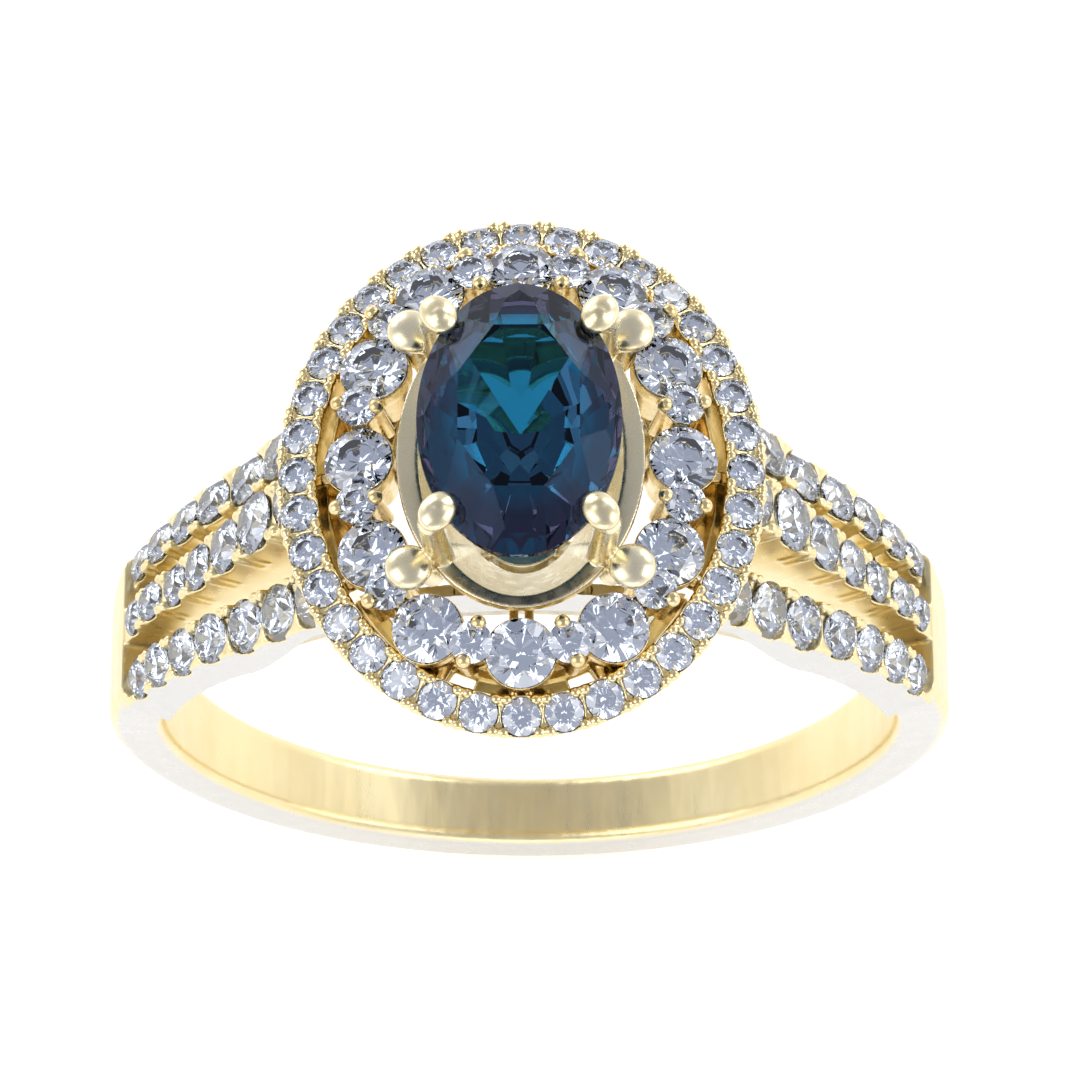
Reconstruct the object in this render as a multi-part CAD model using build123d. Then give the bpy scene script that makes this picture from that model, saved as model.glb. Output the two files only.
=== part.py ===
from build123d import *
import math
import os

# Finger hole and band
bore_radius = 8.67
band_outer_radius = 9.99
band_rise = 0.04
band_end_angle = 18.2
half_width_bottom = 0.86
half_width_side = 1.42
half_width_shoulder = 1.89

# Shoulder rows: x, z of the metal top line, and y of the row centre line
outer_row_top = [(9.42, 2.60), (9.11, 3.38), (8.58, 4.43), (7.98, 5.33), (7.30, 6.31), (6.50, 7.18),
                 (5.62, 8.36), (4.90, 9.35), (4.35, 10.3)]
middle_row_top = [(9.68, 2.60), (9.22, 3.66), (8.82, 4.53), (8.31, 5.22), (7.70, 6.25), (6.95, 7.50),
                  (6.06, 9.07), (5.30, 10.2), (4.90, 10.8)]
outer_row_plan = [(9.7, 1.45), (9.17, 1.47), (8.06, 1.62), (6.56, 1.79), (5.66, 1.95), (4.3, 2.2)]
middle_row_plan = [(9.9, 0), (8.0, 0), (6.5, 0), (4.6, 0)]
row_half_end = 0.42
row_half_head = 0.64
outer_row_sizes = [0.98, 1.05, 1.12, 1.15, 1.25, 1.32, 1.30]
middle_row_sizes = [0.88, 0.95, 1.02, 1.12, 1.30, 1.47, 1.40]
outer_row_gap = 0.08
middle_row_gap = 0.13
outer_row_start = 2.95
middle_row_start = 3.20
row_tilt = 14.0
row_bead_radius = 0.14
row_bead_split = 0.12
band_inner_round = 0.28
band_outer_round = 0.35
rail_top_radius = 9.45
rail_centre = 1.93
rail_half_width = 0.28

# Outer halo
outer_halo_a = 5.0
outer_halo_b = 5.86
outer_halo_half = 0.44
outer_halo_top = 11.66
outer_halo_edge = 0.16
outer_halo_lean = 0.60
outer_halo_bottom = 10.15
outer_halo_count = 36
outer_halo_stone = 0.86
outer_halo_tilt = 18.0

# Inner halo, one quadrant of stone centres: x, y
inner_large = [(0.0, 4.65), (2.05, 4.05), (3.28, 2.25), (3.60, 0.0)]
inner_small = [(1.08, 4.52), (2.95, 3.25), (3.62, 1.18)]
inner_large_size = 1.55
inner_small_size = 0.95
inner_large_z = 12.36
inner_small_z = 12.68
inner_tilt = 13.0
tie_z = 11.32

# Centre stone and basket
stone_a = 2.25
stone_b = 3.27
stone_girdle_z = 14.45
stone_crown = 0.72
stone_pavilion = 2.05
stone_girdle = 0.12
collar_a = 2.76
collar_b = 3.70
collar_top = 12.68
collar_bottom = 11.15
lower_ring_z = 10.35
post_x = 2.45
post_y = 2.86
post_radius = 0.50
post_top = 13.18

clearance = 0.015


def gem(size):
    outline = Polyline((0, -0.43 * size), (0.5 * size, -0.015 * size), (0.5 * size, 0.015 * size),
                       (0.29 * size, 0.16 * size), (0, 0.16 * size), close=True)
    return revolve(Plane.XZ * make_face(outline), Axis.Z)


def seat(size, depth, hole=0.27):
    edge = 0.5 * size + clearance
    hole_top = -0.43 * size * (1 - 2 * hole) - 0.03
    outline = Polyline((0, -depth), (hole * size, -depth), (hole * size, hole_top),
                       (edge, -0.015 * size - 0.02), (edge, 0.8), (0, 0.8), close=True)
    return revolve(Plane.XZ * make_face(outline), Axis.Z)


def room(size):
    return gem(size + 2 * clearance)


def ring_ellipse(a, b, wall, bottom, top):
    outer = Ellipse(a, b)
    inner = Ellipse(a - wall, b - wall)
    return Pos(0, 0, bottom) * extrude(outer - inner, top - bottom)


def cone(low, high):
    """A solid between two level ovals, each given as half length in x, half length in y, height."""
    return loft([(Pos(0, 0, z) * Ellipse(a, b)).face() for a, b, z in (low, high)])


def bar(start, end, radius_start, radius_end):
    line = Vector(*end) - Vector(*start)
    plane = Plane(origin=start, z_dir=line)
    tip = Plane(origin=end, z_dir=line)
    return loft([(plane * Circle(radius_start)).face(), (tip * Circle(radius_end)).face()])


def mirrored(points):
    found = []
    for x, y in points:
        for sx in (1, -1):
            for sy in (1, -1):
                place = (round(sx * x, 4) + 0.0, round(sy * y, 4) + 0.0)
                if place not in found:
                    found.append(place)
    return sorted(found, key=lambda p: math.atan2(p[1], p[0]))


def leaning(x, y, z, a, b, tilt):
    out = Vector(x / a ** 2, y / b ** 2, 0).normalized()
    lean = math.radians(tilt)
    up = Vector(out.X * math.sin(lean), out.Y * math.sin(lean), math.cos(lean))
    return Plane(origin=(x, y, z), z_dir=up, x_dir=Vector(-out.Y, out.X, 0)).location


def even_angles(a, b, count, start):
    steps = 3600
    lengths = [0.0]
    for i in range(steps):
        t = 2 * math.pi * (i + 0.5) / steps
        lengths.append(lengths[-1] + math.hypot(a * math.sin(t), b * math.cos(t)))
    angles = []
    j = 0
    for k in range(count):
        goal = lengths[-1] * (k + start) / count
        while lengths[j] < goal:
            j += 1
        angles.append(2 * math.pi * j / steps)
    return angles


# Stones of the outer halo
def halo_places(start):
    """Places round the outer halo, one stone apart, the first one a share of a step from +X."""
    places = []
    for t in even_angles(outer_halo_a, outer_halo_b, outer_halo_count, start):
        x = outer_halo_a * math.cos(t)
        y = outer_halo_b * math.sin(t)
        places.append(leaning(x, y, outer_halo_top - 0.02, outer_halo_a, outer_halo_b, outer_halo_tilt))
    return places


outer_places = halo_places(0.0)
outer_junctions = halo_places(0.5)
outer_gems = [place * gem(outer_halo_stone) for place in outer_places]

# Outer halo frame
rim_a = outer_halo_a + outer_halo_half
rim_b = outer_halo_b + outer_halo_half
lip_a = outer_halo_a - outer_halo_half
lip_b = outer_halo_b - outer_halo_half
rim_z = outer_halo_top - outer_halo_edge
lip_z = outer_halo_top + outer_halo_edge
frame = cone((rim_a - outer_halo_lean, rim_b - outer_halo_lean, outer_halo_bottom), (rim_a, rim_b, rim_z))
frame = frame + cone((rim_a, rim_b, rim_z), (lip_a, lip_b, lip_z))
frame = frame - cone((lip_a - 0.46, lip_b - 0.46, outer_halo_bottom - 0.01), (lip_a, lip_b, lip_z + 0.01))
frame_block = frame
frame = frame - [place * seat(outer_halo_stone, 3.0) for place in outer_places]
frame_beads = []
for place in outer_junctions:
    for across in (-0.36, 0.36):
        for along in (-0.12, 0.12):
            frame_beads.append(place * Pos(along, -across, 0.02) * Sphere(0.13))
frame = frame + frame_beads - [place * room(outer_halo_stone) for place in outer_places]

# Inner halo stones and gallery
large_places = [leaning(x, y, inner_large_z, 3.6, 4.65, inner_tilt) for x, y in mirrored(inner_large)]
small_places = [leaning(x, y, inner_small_z, 3.6, 4.65, inner_tilt) for x, y in mirrored(inner_small)]
large_gems = [place * gem(inner_large_size) for place in large_places]
small_gems = [place * gem(inner_small_size) for place in small_places]

cup_radius = 0.5 * inner_large_size + 0.03
cup = extrude(Circle(cup_radius), 0.34) + Rot(180, 0, 0) * extrude(Circle(cup_radius), 1.2, taper=13)
cup = Pos(0, 0, -0.36) * cup
pad = Pos(0, 0, -0.1) * Rot(180, 0, 0) * extrude(Circle(0.44), 1.3, taper=6)
gallery_ring = ring_ellipse(3.78, 4.84, 0.48, 11.10, 11.55)
gallery = gallery_ring + [place * cup for place in large_places] + [place * pad for place in small_places]
ties = []
for side in (-1, 1):
    ties.append(bar((1.95 * side, 0, tie_z), (4.6 * side, 0, tie_z), 0.15, 0.15))
    for x in (-0.17, 0.17):
        ties.append(bar((x, 2.75 * side, tie_z), (x, 5.6 * side, tie_z), 0.11, 0.11))
for x, y in mirrored([(1.93, 5.04), (4.05, 2.69)]):
    ties.append(bar((0.8 * x, 0.85 * y, tie_z), (x, y, tie_z), 0.15, 0.15))
gallery = gallery + ties
gallery = gallery - [place * seat(inner_large_size, 3.0, 0.3) for place in large_places]
gallery_beads = []
for place in small_places:
    for across in (-0.44, 0.44):
        gallery_beads.append(place * Pos(0, across, 0.03) * Sphere(0.19))
        gallery_beads.append(place * Pos(0, across * 0.93, -0.62) * Cylinder(0.15, 1.3))
gallery = gallery - [place * seat(inner_small_size, 1.2, 0.25) for place in small_places]
gallery = gallery + gallery_beads
gallery = gallery - [place * room(inner_small_size) for place in small_places]
gallery = gallery - [place * room(inner_large_size) for place in large_places]

# Centre stone
girdle_low = Pos(0, 0, stone_girdle_z - stone_girdle / 2) * Ellipse(stone_a, stone_b)
girdle_high = Pos(0, 0, stone_girdle_z + stone_girdle / 2) * Ellipse(stone_a, stone_b)
table = Pos(0, 0, stone_girdle_z + stone_girdle / 2 + stone_crown) * Ellipse(stone_a * 0.56, stone_b * 0.6)
culet = Pos(0, 0, stone_girdle_z - stone_girdle / 2 - stone_pavilion) * Ellipse(0.06, 0.5)
belly = Pos(0, 0, stone_girdle_z - stone_girdle / 2 - 0.8) * Ellipse(stone_a * 0.74, stone_b * 0.78)
centre_stone = (loft([girdle_high.face(), table.face()]) + extrude(girdle_low.face(), stone_girdle)
                + loft([belly.face(), girdle_low.face()]) + loft([culet.face(), belly.face()]))

# Centre basket
collar = cone((1.75, 2.50, collar_bottom), (collar_a, collar_b, collar_top - 0.22))
collar = collar + Pos(0, 0, collar_top - 0.22) * extrude(Ellipse(collar_a, collar_b), 0.22)
collar_hole_top = (collar_a - 0.46, collar_b - 0.26, collar_top + 0.01)
collar = collar - cone((1.45, 2.20, collar_bottom - 0.01), collar_hole_top)
lower_ring = ring_ellipse(1.30, 1.78, 0.32, lower_ring_z - 0.25, lower_ring_z + 0.2)

one_corner = []
claw_foot = (1.30, rail_centre, rail_top_radius - 0.45)
claw_waist = (1.02, 1.42, lower_ring_z)
claw_knee = (1.74, 2.42, 12.5)
claw_top = (1.93, 2.44, stone_girdle_z - 0.1)
one_corner.append(bar(claw_foot, claw_waist, 0.3, 0.3))
one_corner.append(Pos(*claw_waist) * Sphere(0.3))
one_corner.append(bar(claw_waist, claw_knee, 0.3, 0.3))
one_corner.append(Pos(*claw_knee) * Sphere(0.3))
one_corner.append(bar(claw_knee, claw_top, 0.3, 0.3))
one_corner.append(Pos(*claw_top) * Sphere(0.3))
tip_end = (1.74, 2.30, stone_girdle_z + 0.34)
one_corner.append(bar(claw_top, tip_end, 0.3, 0.34))
one_corner.append(Pos(*tip_end) * Sphere(0.34))
post_foot = (1.95, 2.35, 11.4)
one_corner.append(bar(post_foot, (post_x - 0.06, post_y - 0.06, post_top - 0.2), 0.27, 0.32))
dome = Pos(post_x, post_y, post_top - 0.16) * Cylinder(post_radius, 0.32)
one_corner.append(fillet(dome.faces().sort_by(Axis.Z)[-1].edges(), 0.2))
one_corner.append(bar((1.85, 2.4, 12.85), (post_x, post_y, 12.92), 0.2, 0.22))
corner = one_corner[0]
for piece in one_corner[1:]:
    corner = corner + piece
two_corners = corner + corner.mirror(Plane.YZ)
basket = collar + lower_ring + two_corners + two_corners.mirror(Plane.XZ)
basket = basket - centre_stone
basket = basket - [place * room(inner_small_size) for place in small_places]
basket = basket - [place * room(inner_large_size) for place in large_places]
gallery = gallery - basket - frame_block
gallery = gallery.solids().sort_by(SortBy.VOLUME)[-1]
bore_cutter = Rot(90, 0, 0) * Cylinder(bore_radius, 30)
basket = basket - bore_cutter

# Shank: band, three split rows on each shoulder and rails under the head
side_ring = Plane.XZ * (Pos(0, band_rise) * Circle(band_outer_radius) - Circle(bore_radius))
band = extrude(side_ring, 3, both=True)
end_x = 12 * math.cos(math.radians(band_end_angle))
end_z = 12 * math.sin(math.radians(band_end_angle))
below_outline = Polyline((0, 0), (end_x, end_z), (14, end_z), (14, -14), (-14, -14), (-14, end_z),
                         (-end_x, end_z), close=True)
below = Plane.XZ * make_face(below_outline)
side = Spline((half_width_bottom, -10.3), (half_width_bottom + 0.04, -9.0), (half_width_side, 0.0),
              (half_width_shoulder, 3.6), (half_width_shoulder + 0.05, 4.4))
top_line = Line(side @ 1, (0, 4.4))
centre_line = Line((0, 4.4), (0, -10.3))
width_face = Plane.YZ * make_face(side + top_line + centre_line + Line((0, -10.3), side @ 0))
width_solid = extrude(width_face, 13, both=True)
band = band & (width_solid + width_solid.mirror(Plane.XZ))


def rim_edges(solid, low, high):
    """The long edges that run round the band, between two distances from the finger hole's axis."""
    found = []
    for edge in solid.edges():
        reach = [math.hypot((edge @ u).X, (edge @ u).Z) for u in (0.1, 0.5, 0.9)]
        if edge.length > 15 and low < min(reach) and max(reach) < high:
            found.append(edge)
    return found


band = fillet(rim_edges(band, 8.0, 8.8), band_inner_round)
band = fillet(rim_edges(band, 9.5, 10.5), band_outer_round)
band = band & extrude(below, 4, both=True)


def row_side(top_line, low_line):
    top = Spline(*top_line)
    low = Spline(*low_line)
    outline = make_face(top + Line(top @ 1, low @ 1) + low + Line(low @ 0, top @ 0))
    return extrude(Plane.XZ * outline, 4, both=True)


def row_half(x):
    share = min(1.0, max(0.0, (9.2 - x) / 3.6))
    return row_half_end + (row_half_head - row_half_end) * share


def row_plan(centres):
    inner_side = Spline(*[(x, y - row_half(x)) for x, y in centres])
    outer_side = Spline(*[(x, y + row_half(x)) for x, y in centres])
    outline = make_face(inner_side + Line(inner_side @ 1, outer_side @ 1) + outer_side
                        + Line(outer_side @ 0, inner_side @ 0))
    return extrude(outline, 14)


inside_line = []
for angle in (14, 30, 45, 60):
    turn = math.radians(angle)
    inside_line.append((0.97 * bore_radius * math.cos(turn), 0.97 * bore_radius * math.sin(turn)))
outer_row = row_side(outer_row_top, inside_line) & row_plan(outer_row_plan)
middle_row = row_side(middle_row_top, inside_line) & row_plan(middle_row_plan)

rail_profile = Plane.XZ * (Circle(rail_top_radius) - Circle(bore_radius))
rail_box = Pos(0, rail_centre, 9.0) * Box(10.4, 2 * rail_half_width, 5.2)
rail = extrude(rail_profile, 3, both=True) & rail_box


def row_stones(top_line, plan, sizes, gap, start, tilt):
    line = Spline(*top_line)
    yline = Spline(*plan)
    total = line.length
    position = 0.0
    for i in range(1, 200):
        if (line @ (i / 200)).Y > start:
            position = total * i / 200
            break
    places = []
    for size in sizes:
        position += 0.5 * (size + gap)
        u = position / total
        point = line @ u
        slope = line % u
        normal = Vector(slope.Y, 0, -slope.X)
        x = point.X
        for j in range(0, 401):
            if (yline @ (j / 400)).X <= x:
                break
        y = (yline @ (j / 400)).Y
        lean = math.radians(tilt)
        up = Vector(normal.X * math.cos(lean), math.sin(lean), normal.Z * math.cos(lean))
        along = Vector(slope.X, 0, slope.Y)
        where = Vector(point.X, y, point.Y)
        places.append((Plane(origin=where, z_dir=up, x_dir=along).location, size))
        position += 0.5 * (size + gap)
    return places


outer_row_places = row_stones(outer_row_top, outer_row_plan, outer_row_sizes, outer_row_gap,
                              outer_row_start, row_tilt)
middle_row_places = row_stones(middle_row_top, middle_row_plan, middle_row_sizes, middle_row_gap,
                               middle_row_start, 0.0)
outer_row_seats = [place * seat(size, 0.75) for place, size in outer_row_places]
middle_row_seats = [place * seat(size, 0.8) for place, size in middle_row_places]


def row_beads(places):
    beads = []
    for (one, size_one), (two, size_two) in zip(places, places[1:]):
        middle = (one.position + two.position) * 0.5
        plane = Plane(one)
        here = Plane(origin=middle, z_dir=plane.z_dir, x_dir=plane.x_dir).location
        half = row_half(middle.X) - 0.1
        for across in (-half, half):
            for along in (-row_bead_split, row_bead_split):
                beads.append(here * Pos(along, across, 0.0) * Sphere(row_bead_radius))
    return beads


outer_row = outer_row + row_beads(outer_row_places) - outer_row_seats
middle_row = middle_row + row_beads(middle_row_places) - middle_row_seats
rows = [outer_row, outer_row.mirror(Plane.YZ), outer_row.mirror(Plane.XZ),
        outer_row.mirror(Plane.XZ).mirror(Plane.YZ), middle_row, middle_row.mirror(Plane.YZ)]
shank = band + rows + [rail, rail.mirror(Plane.XZ)]
shank = shank - bore_cutter

for place, size in outer_row_places[-2:] + middle_row_places[-2:]:
    right_pair = room(size)
    right_pair = [place * right_pair, (place * right_pair).mirror(Plane.XZ)]
    frame = frame - right_pair - [piece.mirror(Plane.YZ) for piece in right_pair]
shank = shank - frame_block - basket
shank = shank.solids().sort_by(SortBy.VOLUME)[-1]

outer_row_gems = [place * gem(size) for place, size in outer_row_places]
middle_row_gems = [place * gem(size) for place, size in middle_row_places]

nodes = {
    "shank": shank,
    "outer_halo_frame": frame,
    "inner_halo_gallery": gallery,
    "centre_basket": basket,
    "centre_stone": centre_stone,
}
for i, stone in enumerate(large_gems):
    nodes[f"inner_large_stone_{i + 1:02d}"] = stone
for i, stone in enumerate(small_gems):
    nodes[f"inner_small_stone_{i + 1:02d}"] = stone
for i, name in enumerate(("right_back", "left_back", "left_front", "right_front")):
    nodes[f"outer_halo_stones_{name}"] = Compound(outer_gems[9 * i:9 * i + 9])
nodes["shoulder_stones_right_back"] = Compound(outer_row_gems)
nodes["shoulder_stones_left_back"] = Compound([stone.mirror(Plane.YZ) for stone in outer_row_gems])
front_row_gems = [stone.mirror(Plane.XZ) for stone in outer_row_gems]
nodes["shoulder_stones_left_front"] = Compound([stone.mirror(Plane.YZ) for stone in front_row_gems])
nodes["shoulder_stones_right_front"] = Compound(front_row_gems)
nodes["shoulder_stones_right_middle"] = Compound(middle_row_gems)
nodes["shoulder_stones_left_middle"] = Compound([stone.mirror(Plane.YZ) for stone in middle_row_gems])

os.makedirs("parts", exist_ok=True)
for name, shape in nodes.items():
    print(name, round(shape.volume, 3), len(shape.solids()), shape.bounding_box())
    export_step(shape, f"parts/{name}.step")
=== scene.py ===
"""Engagement ring with an oval stone, a double oval halo and three-row shoulders.

Each piece stands in for one CAD node. Lengths are in metres, except in the functions that say millimetres.
"""

import math

import bmesh
import bpy
import numpy as np
from mathutils import Matrix, Vector


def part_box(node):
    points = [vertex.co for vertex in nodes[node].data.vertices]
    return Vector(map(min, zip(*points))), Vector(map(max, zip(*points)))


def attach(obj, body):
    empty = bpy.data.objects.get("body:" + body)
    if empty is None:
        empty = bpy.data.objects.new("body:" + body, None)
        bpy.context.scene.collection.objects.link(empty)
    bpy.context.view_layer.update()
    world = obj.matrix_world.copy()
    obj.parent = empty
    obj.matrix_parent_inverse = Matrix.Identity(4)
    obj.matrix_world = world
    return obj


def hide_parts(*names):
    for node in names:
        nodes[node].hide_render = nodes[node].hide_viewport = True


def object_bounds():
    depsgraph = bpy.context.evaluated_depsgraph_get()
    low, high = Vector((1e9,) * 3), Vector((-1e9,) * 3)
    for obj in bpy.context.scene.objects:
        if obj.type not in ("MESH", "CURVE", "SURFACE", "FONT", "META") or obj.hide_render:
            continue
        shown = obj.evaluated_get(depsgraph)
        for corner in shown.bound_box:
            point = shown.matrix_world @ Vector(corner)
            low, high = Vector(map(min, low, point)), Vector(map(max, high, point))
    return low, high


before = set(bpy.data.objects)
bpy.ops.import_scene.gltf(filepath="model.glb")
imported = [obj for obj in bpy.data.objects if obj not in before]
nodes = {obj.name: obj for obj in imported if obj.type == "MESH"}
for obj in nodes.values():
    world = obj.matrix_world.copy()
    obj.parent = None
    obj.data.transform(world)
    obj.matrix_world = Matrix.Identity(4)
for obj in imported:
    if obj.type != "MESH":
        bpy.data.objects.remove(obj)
cad_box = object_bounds()
MM = 0.001

scene = bpy.context.scene
scene.view_settings.view_transform = "Standard"
scene.view_settings.look = "None"


# ---------------------------------------------------------------- materials

def new_material(name):
    mat = bpy.data.materials.new(name)
    mat.use_nodes = True
    tree = mat.node_tree
    return mat, tree, tree.nodes["Principled BSDF"]


def noise(tree, coords, scale, detail, rough=0.6, stretch=(1, 1, 1)):
    mapping = tree.nodes.new("ShaderNodeMapping")
    mapping.inputs["Scale"].default_value = stretch
    tree.links.new(coords, mapping.inputs["Vector"])
    node = tree.nodes.new("ShaderNodeTexNoise")
    node.inputs["Scale"].default_value = scale
    node.inputs["Detail"].default_value = detail
    node.inputs["Roughness"].default_value = rough
    tree.links.new(mapping.outputs["Vector"], node.inputs["Vector"])
    return node.outputs["Fac"]


def ramp(tree, fac, stops):
    """A colour ramp through (position, colour) stops."""
    node = tree.nodes.new("ShaderNodeValToRGB")
    node.color_ramp.elements[0].position = stops[0][0]
    node.color_ramp.elements[0].color = (*stops[0][1], 1)
    node.color_ramp.elements[1].position = stops[-1][0]
    node.color_ramp.elements[1].color = (*stops[-1][1], 1)
    for place, color in stops[1:-1]:
        extra = node.color_ramp.elements.new(place)
        extra.color = (*color, 1)
    tree.links.new(fac, node.inputs["Fac"])
    return node.outputs["Color"]


def span(tree, value, low, high, out_low, out_high):
    """Maps a value from one range to another, held at both ends."""
    node = tree.nodes.new("ShaderNodeMapRange")
    node.inputs["From Min"].default_value = low
    node.inputs["From Max"].default_value = high
    node.inputs["To Min"].default_value = out_low
    node.inputs["To Max"].default_value = out_high
    tree.links.new(value, node.inputs["Value"])
    return node.outputs["Result"]


def bump(tree, height, strength, distance, before=None):
    node = tree.nodes.new("ShaderNodeBump")
    node.inputs["Strength"].default_value = strength
    node.inputs["Distance"].default_value = distance
    tree.links.new(height, node.inputs["Height"])
    if before is not None:
        tree.links.new(before, node.inputs["Normal"])
    return node.outputs["Normal"]


def math_node(tree, kind, first, second=None):
    node = tree.nodes.new("ShaderNodeMath")
    node.operation = kind
    tree.links.new(first, node.inputs[0])
    if second is not None:
        tree.links.new(second, node.inputs[1])
    return node.outputs["Value"]


def painted_reflection_sides(tree, texture, color, painted_reflection):
    """Pales a colour on the outer sides of the band and of the front and back rows, which are brushed: the
    pale colour is a painted reflection of a bright panel, not a colour of the gold.
    """
    facing = tree.nodes.new("ShaderNodeSeparateXYZ")
    tree.links.new(texture.outputs["Normal"], facing.inputs["Vector"])
    place = tree.nodes.new("ShaderNodeSeparateXYZ")
    tree.links.new(texture.outputs["Object"], place.inputs["Vector"])
    # Mask of the painted reflection: sides facing front or back, on the outer rows or the lower band.
    sideways = span(tree, math_node(tree, "ABSOLUTE", facing.outputs["Y"]), 0.75, 0.97, 0, 1)
    outside = span(tree, math_node(tree, "ABSOLUTE", place.outputs["Y"]), 1.45 * MM, 1.60 * MM, 0, 1)
    on_band = span(tree, place.outputs["Z"], 3.0 * MM, 3.4 * MM, 1, 0)
    mix = tree.nodes.new("ShaderNodeMix")
    mix.data_type = "RGBA"
    share = math_node(tree, "MULTIPLY", sideways, math_node(tree, "MAXIMUM", outside, on_band))
    tree.links.new(share, mix.inputs["Factor"])
    tree.links.new(color, mix.inputs["A"])
    mix.inputs["B"].default_value = (*painted_reflection, 1)
    return mix.outputs["Result"]


def gold(name, light, dark, rough_low, rough_high, grain=1.0, stretch=(1, 1, 1), painted_reflection=None):
    """Cast yellow gold: soft waves under a fine grain, with a painted reflection on the brushed sides where
    its colour is given.
    """
    wave_depth = 0.00006
    grain_depth = 0.000012
    mat, tree, shader = new_material(name)
    texture = tree.nodes.new("ShaderNodeTexCoord")
    coords = texture.outputs["Object"]
    broad = noise(tree, coords, scale=420.0, detail=3.0)
    color = ramp(tree, broad, [(0.3, dark), (0.7, light)])
    if painted_reflection is not None:
        color = painted_reflection_sides(tree, texture, color, painted_reflection)
    tree.links.new(color, shader.inputs["Base Color"])
    fine = noise(tree, coords, scale=2600.0, detail=4.0, rough=0.65, stretch=stretch)
    tree.links.new(span(tree, fine, 0.3, 0.7, rough_low, rough_high), shader.inputs["Roughness"])
    waves = bump(tree, broad, 0.12 * grain, wave_depth)
    grains = bump(tree, fine, 0.10 * grain, grain_depth, waves)
    tree.links.new(grains, shader.inputs["Normal"])
    shader.inputs["Metallic"].default_value = 1.0
    return mat


polished = gold("polished_gold", (0.90, 0.76, 0.44), (0.84, 0.68, 0.35), 0.10, 0.22)
cast_gold = gold("cast_gold", (0.88, 0.72, 0.40), (0.78, 0.58, 0.26), 0.16, 0.34, grain=1.4)
# The pale sides of this gold are a painted reflection of a bright panel; the stretched grain is its brushed
# finish.
satin_with_painted_reflection = gold("satin_gold_with_painted_reflection", (0.91, 0.78, 0.46), (0.85, 0.70, 0.37), 0.24, 0.40,
             stretch=(1, 0.12, 1), painted_reflection=(0.68, 0.66, 0.61))
hammered = gold("hammered_gold", (0.92, 0.83, 0.58), (0.84, 0.72, 0.44), 0.20, 0.36, grain=2.5)


def crystal(name, color, ior):
    """A clear polished stone with a very faint cloud in its colour."""
    mat, tree, shader = new_material(name)
    coords = tree.nodes.new("ShaderNodeTexCoord").outputs["Object"]
    cloud = noise(tree, coords, scale=900.0, detail=2.0)
    dim = tuple(c * 0.93 for c in color)
    tree.links.new(ramp(tree, cloud, [(0.35, dim), (0.65, color)]), shader.inputs["Base Color"])
    shader.inputs["Roughness"].default_value = 0.0
    shader.inputs["IOR"].default_value = ior
    shader.inputs["Transmission Weight"].default_value = 1.0
    return mat


diamond = crystal("diamond", (0.82, 0.89, 1.0), ior=2.42)


def teal_crystal():
    """Dark teal under the table, darkening to a dark purple towards the girdle: painted light under the
    table and painted shade towards the girdle.
    """
    half_width = 0.00225
    half_length = 0.00327
    painted_light_table_color = (0.007, 0.13, 0.25)
    painted_shade_shoulder_color = (0.022, 0.033, 0.065)
    painted_shade_girdle_color = (0.034, 0.026, 0.055)
    mat, tree, shader = new_material("teal_gem")
    coords = tree.nodes.new("ShaderNodeTexCoord").outputs["Object"]
    mapping = tree.nodes.new("ShaderNodeMapping")
    mapping.inputs["Scale"].default_value = (1 / half_width, 1 / half_length, 0)
    tree.links.new(coords, mapping.inputs["Vector"])
    length = tree.nodes.new("ShaderNodeVectorMath")
    length.operation = "LENGTH"
    tree.links.new(mapping.outputs["Vector"], length.inputs[0])
    # Painted light and shade: the teal is brightest under the table and darkens outwards to the girdle.
    color = ramp(tree, length.outputs["Value"],
                 [(0.0, painted_light_table_color), (0.64, painted_light_table_color), (0.76, painted_shade_shoulder_color), (1.0, painted_shade_girdle_color)])
    tree.links.new(color, shader.inputs["Base Color"])
    shader.inputs["Roughness"].default_value = 0.0
    shader.inputs["IOR"].default_value = 1.76
    shader.inputs["Specular Tint"].default_value = (0.12, 0.17, 0.26, 1)
    shader.inputs["Transmission Weight"].default_value = 1.0
    return mat


teal = teal_crystal()


# ---------------------------------------------------------------- helpers

def make_object(name, mesh, material, replaced):
    """Puts a mesh in the scene as the piece that stands in for the named CAD nodes."""
    ob = bpy.data.objects.new(name, mesh)
    scene.collection.objects.link(ob)
    mesh.materials.clear()
    mesh.materials.append(material)
    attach(ob, "root")
    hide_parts(*replaced)
    return ob


def islands(node):
    """The separate solids of a CAD node, each a list of its faces' normals, areas, centres and corners."""
    weld = 2e-7
    bm = bmesh.new()
    bm.from_mesh(nodes[node].data)
    bmesh.ops.remove_doubles(bm, verts=bm.verts, dist=weld)
    bm.faces.ensure_lookup_table()
    seen = set()
    groups = []
    for face in bm.faces:
        if face.index in seen:
            continue
        stack = [face]
        seen.add(face.index)
        group = []
        while stack:
            f = stack.pop()
            group.append(f)
            for edge in f.edges:
                for other in edge.link_faces:
                    if other.index not in seen:
                        seen.add(other.index)
                        stack.append(other)
        groups.append([(f.normal.copy(), f.calc_area(), f.calc_center_median(),
                        [v.co.copy() for v in f.verts]) for f in group])
    bm.free()
    return groups


def stone_places(node):
    """Where each stone of a node sits: its girdle centre, its axis and its diameter.

    The flat top of a stone is its largest set of faces with one normal.
    """
    girdle_below_top = 0.16
    found = []
    for group in islands(node):
        sums = {}
        for normal, area, centre, _ in group:
            key = tuple(round(c, 1) for c in normal)
            entry = sums.setdefault(key, [0.0, Vector(), Vector()])
            entry[0] += area
            entry[1] += normal * area
            entry[2] += centre * area
        area, normal, centre = max(sums.values(), key=lambda e: e[0])
        axis = normal.normalized()
        middle = centre / area
        reach = 0.0
        for _, _, _, corners in group:
            for corner in corners:
                away = corner - middle
                reach = max(reach, (away - axis * away.dot(axis)).length)
        size = 2 * reach
        found.append((middle - axis * girdle_below_top * size, axis, size))
    return found


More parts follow.
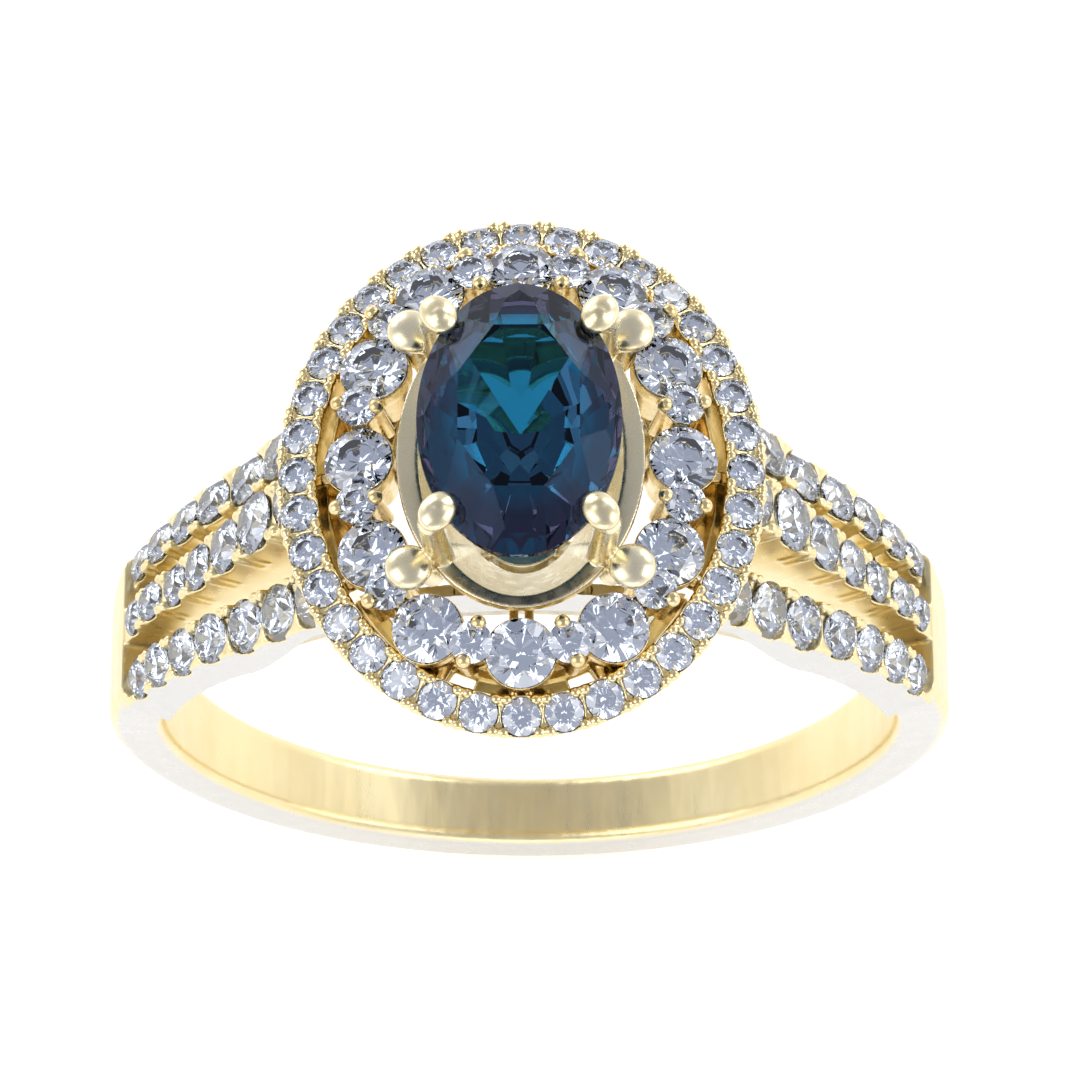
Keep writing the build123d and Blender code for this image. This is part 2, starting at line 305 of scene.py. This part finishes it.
def cut_facets(bm, count, start, height, slope, reach=1.0):
    """Grinds flat facets round a stone of unit radius, each at a slope through a height at the reach.

    A positive slope faces up and a negative one down.
    """
    for k in range(count):
        angle = 2 * math.pi * (k + start) / count
        out = Vector((math.cos(angle), math.sin(angle), 0))
        normal = (out * abs(slope) + Vector((0, 0, 1 if slope > 0 else -1))).normalized()
        geom = bm.verts[:] + bm.edges[:] + bm.faces[:]
        cut = bmesh.ops.bisect_plane(bm, geom=geom, dist=1e-6, plane_co=out * reach + Vector((0, 0, height)),
                                     plane_no=normal, clear_outer=True)
        edges = [item for item in cut["geom_cut"] if isinstance(item, bmesh.types.BMEdge)]
        if edges:
            bmesh.ops.holes_fill(bm, edges=edges, sides=0)


def rough_stone(segments, low, high):
    """An uncut cylinder of unit radius between two heights."""
    bm = bmesh.new()
    bmesh.ops.create_cone(bm, cap_ends=True, segments=segments, radius1=1.0, radius2=1.0, depth=high - low)
    bmesh.ops.translate(bm, verts=bm.verts, vec=(0, 0, (high + low) / 2))
    return bm


def grade(degrees):
    """The slope of a facet at an angle to the girdle."""
    return math.tan(math.radians(degrees))


def round_brilliant():
    """A round brilliant of unit radius with its girdle centre at the origin."""
    half_girdle = 0.022
    crown = 0.31
    table = 0.507
    rough_depth = 0.9
    bm = rough_stone(32, -rough_depth, half_girdle + crown)
    cut_facets(bm, 8, 0.0, half_girdle, grade(34.5))
    cut_facets(bm, 16, 0.5, half_girdle, grade(40))
    cut_facets(bm, 8, 0.5, half_girdle + crown, grade(21), table)
    cut_facets(bm, 8, 0.0, -half_girdle, -grade(40.6))
    cut_facets(bm, 16, 0.5, -half_girdle, -grade(41.2))
    mesh = bpy.data.meshes.new("round_brilliant")
    bm.to_mesh(mesh)
    bm.free()
    return mesh


def frame_matrix(centre, axis, turn):
    """A frame at a centre with its z along the axis, turned about it."""
    z = axis.normalized()
    side = Vector((0, 1, 0)) if abs(z.y) < 0.9 else Vector((1, 0, 0))
    x = side.cross(z).normalized()
    y = z.cross(x)
    turned = x * math.cos(turn) + y * math.sin(turn)
    other = z.cross(turned)
    return Matrix(((turned.x, other.x, z.x, centre.x), (turned.y, other.y, z.y, centre.y),
                   (turned.z, other.z, z.z, centre.z), (0, 0, 0, 1)))


rng = np.random.default_rng(7)
brilliant = round_brilliant()


def set_stones(name, node):
    """One round brilliant in each seat of a node, set with a slight tilt and at any turn."""
    radius_share = 0.4975
    tilt = 0.02
    full_turn = 6.28
    bm = bmesh.new()
    for centre, axis, size in stone_places(node):
        wobble = Vector(rng.normal(0, tilt, 3))
        place = frame_matrix(centre, (axis + wobble).normalized(), rng.uniform(0, full_turn))
        start = len(bm.verts)
        bm.from_mesh(brilliant)
        bm.verts.ensure_lookup_table()
        scale = Matrix.Scale(radius_share * size, 4)
        bmesh.ops.transform(bm, matrix=place @ scale, verts=bm.verts[start:])
    bmesh.ops.recalc_face_normals(bm, faces=bm.faces)
    mesh = bpy.data.meshes.new(name)
    bm.to_mesh(mesh)
    bm.free()
    make_object(name, mesh, diamond, [node])


for node in sorted(nodes):
    if "stone" in node and node != "centre_stone":
        set_stones("cut_" + node, node)


# ---------------------------------------------------------------- centre stone

def oval_stone():
    """The centre stone: cut round with unit radius and heights in millimetres, then drawn out to an oval."""
    low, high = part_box("centre_stone")
    crown = 0.72
    half_girdle = 0.05
    table = 0.64
    star_reach = 0.924 * table
    crown_slope = crown / (1 - table)
    depth = (high.z - low.z) / MM - crown - 2 * half_girdle
    bm = rough_stone(72, -depth - half_girdle, half_girdle + crown)
    cut_facets(bm, 8, 0.5, half_girdle, crown_slope)
    cut_facets(bm, 16, 0.5, half_girdle, 1.16 * crown_slope)
    cut_facets(bm, 8, 0.0, half_girdle + crown, 1.5, star_reach)
    # The tiers under the girdle: facets, start, slope and the radius where the tier begins.
    tiers = ((12, 0.0, 3.0, 1.0), (12, 0.0, 1.85, 0.70), (8, 0.5, 1.4, 0.30))
    level = -half_girdle
    begin, slope = 1.0, 0.0
    for count, start, next_slope, next_begin in tiers:
        level -= (begin - next_begin) * slope
        begin, slope = next_begin, next_slope
        cut_facets(bm, count, start, level, -slope, begin)
    shape = Matrix.Diagonal(((high.x - low.x) / 2, (high.y - low.y) / 2, MM, 1))
    bmesh.ops.transform(bm, matrix=shape, verts=bm.verts)
    lift = high.z - (half_girdle + crown) * MM
    bmesh.ops.translate(bm, verts=bm.verts, vec=(0, 0, lift))
    bmesh.ops.recalc_face_normals(bm, faces=bm.faces)
    mesh = bpy.data.meshes.new("oval_gem")
    bm.to_mesh(mesh)
    bm.free()
    make_object("oval_gem", mesh, teal, ["centre_stone"])


oval_stone()


# ---------------------------------------------------------------- castings

def row_half_width(x):
    """Half the width of a shoulder row, which grows towards the head, in millimetres."""
    row_foot_x = 9.2
    widening_length = 3.6
    share = min(1.0, max(0.0, (row_foot_x - abs(x)) / widening_length))
    return 0.42 + 0.22 * share


def add_row_posts(bm, node):
    """The pairs of small round posts between neighbouring stones of a shoulder row, in millimetres."""
    radius = 0.13
    top_radius = 0.8 * radius
    height = 0.8
    sunk = 0.30
    inset = 0.06
    places = sorted(stone_places(node), key=lambda place: place[0].z)
    for (one, axis_one, _), (two, axis_two, _) in zip(places, places[1:]):
        middle = (one + two) / 2 / MM
        up = (axis_one + axis_two).normalized()
        along = (two - one).normalized()
        across = up.cross(along).normalized()
        turn = up.to_track_quat("Z", "Y").to_matrix().to_4x4()
        side = row_half_width(middle.x) - inset
        for aside in (-side, side):
            for step in (-radius, radius):
                centre = middle + across * aside + along * step - up * sunk
                bmesh.ops.create_cone(bm, cap_ends=True, segments=12, radius1=radius, radius2=top_radius,
                                      depth=height, matrix=Matrix.Translation(centre) @ turn)


def add_button(bm, centre, radii, turn):
    """A flattened round button, such as a claw tip, in millimetres."""
    shape = Matrix.Translation(centre) @ Matrix.Rotation(turn, 4, "Z") @ Matrix.Diagonal((*radii, 1))
    bmesh.ops.create_icosphere(bm, subdivisions=4, radius=1.0, matrix=shape)


def add_web(bm, rings, openings):
    """A thin sloping web between ovals (half x, half y, height), open at some angles, in millimetres."""
    steps = 144
    overlap = 0.04
    thickness = 0.12
    for outer, inner, gaps in zip(rings, rings[1:], openings):
        for k in range(steps):
            after = k + 1 + overlap
            middle = 360 * (k + 0.5) / steps
            folded = abs((middle + 90) % 180 - 90)
            if any(low < folded < high for low, high in gaps):
                continue
            corners = []
            for lift in (0.0, thickness):
                for step, (a, b, z) in ((k, outer), (after, outer), (after, inner), (k, inner)):
                    t = 2 * math.pi * step / steps
                    corners.append(bm.verts.new((a * math.cos(t), b * math.sin(t), z + lift)))
            bm.faces.new(corners[3::-1])
            bm.faces.new(corners[4:])
            for i in range(4):
                j = (i + 1) % 4
                bm.faces.new([corners[i], corners[j], corners[4 + j], corners[4 + i]])
    bmesh.ops.recalc_face_normals(bm, faces=bm.faces)


def casting(name, node, material, voxel, rounds, add=None):
    """A softened copy of a cast node: the same shape with the slight rounding of a polished casting."""
    bm = bmesh.new()
    bm.from_mesh(nodes[node].data)
    bmesh.ops.scale(bm, verts=bm.verts, vec=(1 / MM, 1 / MM, 1 / MM))
    if add is not None:
        extras = bmesh.new()
        add(extras)
        added = bpy.data.meshes.new(name + "_added")
        extras.to_mesh(added)
        extras.free()
        bm.from_mesh(added)
        bpy.data.meshes.remove(added)
    mesh = bpy.data.meshes.new(name + "_work")
    bm.to_mesh(mesh)
    bm.free()
    ob = bpy.data.objects.new(name + "_work", mesh)
    scene.collection.objects.link(ob)
    remesh = ob.modifiers.new("remesh", "REMESH")
    remesh.mode = "VOXEL"
    remesh.voxel_size = voxel
    smooth = ob.modifiers.new("smooth", "SMOOTH")
    smooth.factor = 0.5
    smooth.iterations = rounds
    bpy.context.view_layer.update()
    done = bpy.data.meshes.new_from_object(ob.evaluated_get(bpy.context.evaluated_depsgraph_get()))
    bpy.data.objects.remove(ob)
    done.transform(Matrix.Scale(MM, 4))
    done.polygons.foreach_set("use_smooth", [True] * len(done.polygons))
    done.name = name
    return make_object(name, done, material, [node])


def shank_details(bm):
    """The posts beside the stones of all six shoulder rows."""
    for node in sorted(nodes):
        if node.startswith("shoulder"):
            add_row_posts(bm, node)


def basket_details(bm):
    """The four claw tips over the stone and the four domed tops of the corner posts, in millimetres."""
    stone_x, stone_y = 2.25, 3.27
    tip_x, tip_y, tip_z = 1.76, 2.36, 14.84
    post_x, post_y, post_z = 2.45, 2.86, 12.98
    for sx in (-1, 1):
        for sy in (-1, 1):
            outwards = math.atan2(stone_y * sy, stone_x * sx)
            add_button(bm, Vector((tip_x * sx, tip_y * sy, tip_z)), (0.50, 0.40, 0.26), outwards)
            add_button(bm, Vector((post_x * sx, post_y * sy, post_z)), (0.53, 0.53, 0.30), 0.0)


def frame_details(bm):
    """The web that slopes in from the outer halo and under the inner one, in millimetres and degrees."""
    rings = [(4.50, 5.36, 11.00), (3.85, 4.75, 10.60), (3.05, 4.05, 10.35)]
    outer_openings = [(24, 33), (67, 74)]
    inner_openings = [(30, 46)]
    add_web(bm, rings, [outer_openings, inner_openings])


def slope_row_ends(mesh):
    """Draws the outer side of the front and back rows up to a thin edge by the halo, in millimetres."""
    bore_radius = 8.67
    slope_begins_x = 6.3
    slope_length = 2.0
    outer_side_y = 2.15
    row_foot_z = 5.5
    row_top_x, row_top_z = 4.3, 9.9
    row_fall = 1.30
    rise = 1.9
    count = len(mesh.vertices)
    co = np.empty(count * 3)
    mesh.vertices.foreach_get("co", co)
    co = co.reshape(count, 3) / MM
    x = np.abs(co[:, 0])
    share = np.clip((slope_begins_x - x) / slope_length, 0, 1)
    share *= share * (3 - 2 * share)
    outer = np.clip((np.abs(co[:, 1]) - outer_side_y) / 0.15, 0, 1)
    top = row_top_z - row_fall * (x - row_top_x)
    low = np.sqrt(np.clip(bore_radius ** 2 - x ** 2, 0, None))
    depth = np.clip((top - co[:, 2]) / np.maximum(top - low, 0.1), 0, 1)
    near = (co[:, 2] > row_foot_z) & (x < slope_begins_x)
    co[:, 2] += np.where(near, rise * share * outer * depth, 0.0)
    mesh.vertices.foreach_set("co", (co * MM).ravel())
    mesh.update()


cast_shank = casting("cast_shank", "shank", satin_with_painted_reflection, voxel=0.045, rounds=3, add=shank_details)
slope_row_ends(cast_shank.data)
casting("cast_halo_frame", "outer_halo_frame", polished, voxel=0.035, rounds=2, add=frame_details)
casting("cast_gallery", "inner_halo_gallery", cast_gold, voxel=0.035, rounds=3)
casting("cast_basket", "centre_basket", hammered, voxel=0.035, rounds=3, add=basket_details)


# ---------------------------------------------------------------- stage, lights and camera

def area_light(name, place, size, power):
    """A white panel that faces the origin."""
    data = bpy.data.lights.new(name, "AREA")
    data.shape = "RECTANGLE"
    data.size, data.size_y = size
    data.energy = power
    ob = bpy.data.objects.new(name, data)
    ob.location = place
    ob.rotation_euler = (-Vector(place)).to_track_quat("-Z", "Y").to_euler()
    scene.collection.objects.link(ob)


floor_reach = 3
floor_gap = 0.0002
floor_corners = [(x * floor_reach, y * floor_reach, 0) for x, y in ((-1, -1), (1, -1), (1, 1), (-1, 1))]
floor_mesh = bpy.data.meshes.new("floor")
floor_mesh.from_pydata(floor_corners, [], [(0, 1, 2, 3)])
floor = bpy.data.objects.new("floor", floor_mesh)
floor.location.z = cad_box[0][2] - floor_gap
scene.collection.objects.link(floor)
floor_mat, _, floor_shader = new_material("pale_floor")
floor_shader.inputs["Base Color"].default_value = (0.97, 0.97, 0.97, 1)
floor_shader.inputs["Roughness"].default_value = 0.8
floor_shader.inputs["Emission Color"].default_value = (1, 1, 1, 1)
floor_shader.inputs["Emission Strength"].default_value = 0.30
floor_mesh.materials.append(floor_mat)

# White from the floor to the horizon, and dimmer overhead for darker reflections in gold and stones.
world = bpy.data.worlds.new("studio")
scene.world = world
world.use_nodes = True
sky_tree = world.node_tree
sky_way = sky_tree.nodes.new("ShaderNodeTexCoord").outputs["Generated"]
sky_split = sky_tree.nodes.new("ShaderNodeSeparateXYZ")
sky_tree.links.new(sky_way, sky_split.inputs["Vector"])
sky_color = ramp(sky_tree, span(sky_tree, sky_split.outputs["Z"], -1, 1, 0, 1),
                 [(0.0, (0.95, 0.95, 0.95)), (0.55, (0.95, 0.95, 0.97)), (0.68, (0.80, 0.81, 0.86)),
                  (0.82, (0.50, 0.52, 0.60)), (1.0, (0.42, 0.44, 0.52))])
sky_tree.links.new(sky_color, sky_tree.nodes["Background"].inputs["Color"])
sky_tree.nodes["Background"].inputs["Strength"].default_value = 1.0

area_light("key", (-0.16, -0.08, 0.17), size=(0.18, 0.20), power=0.19)
area_light("fill", (0.19, -0.03, 0.13), size=(0.16, 0.18), power=0.15)
area_light("back_left", (-0.12, 0.18, 0.08), size=(0.16, 0.10), power=0.11)
area_light("back_right", (0.14, 0.16, 0.10), size=(0.12, 0.10), power=0.09)
area_light("front", (0.0, -0.22, 0.05), size=(0.20, 0.06), power=0.05)

# The camera looks down at the head from the front, a little to one side of the centre.
elevation = math.radians(66)
distance = 150 * MM
slide_x = -0.25 * MM
slide_y = -3.25 * MM
lean = Matrix.Rotation(math.radians(0.8), 3, "Y")
back = lean @ Vector((0, -math.cos(elevation), math.sin(elevation)))
up = lean @ Vector((0, math.sin(elevation), math.cos(elevation)))
right = up.cross(back)
cam_data = bpy.data.cameras.new("camera")
cam_data.sensor_width = 36
cam_data.lens = 209.0
cam_data.clip_start = 0.001
cam = bpy.data.objects.new("camera", cam_data)
turn = Matrix((right, up, back)).transposed().to_4x4()
cam.matrix_world = Matrix.Translation(back * distance - right * slide_x - up * slide_y) @ turn
scene.collection.objects.link(cam)
scene.camera = cam
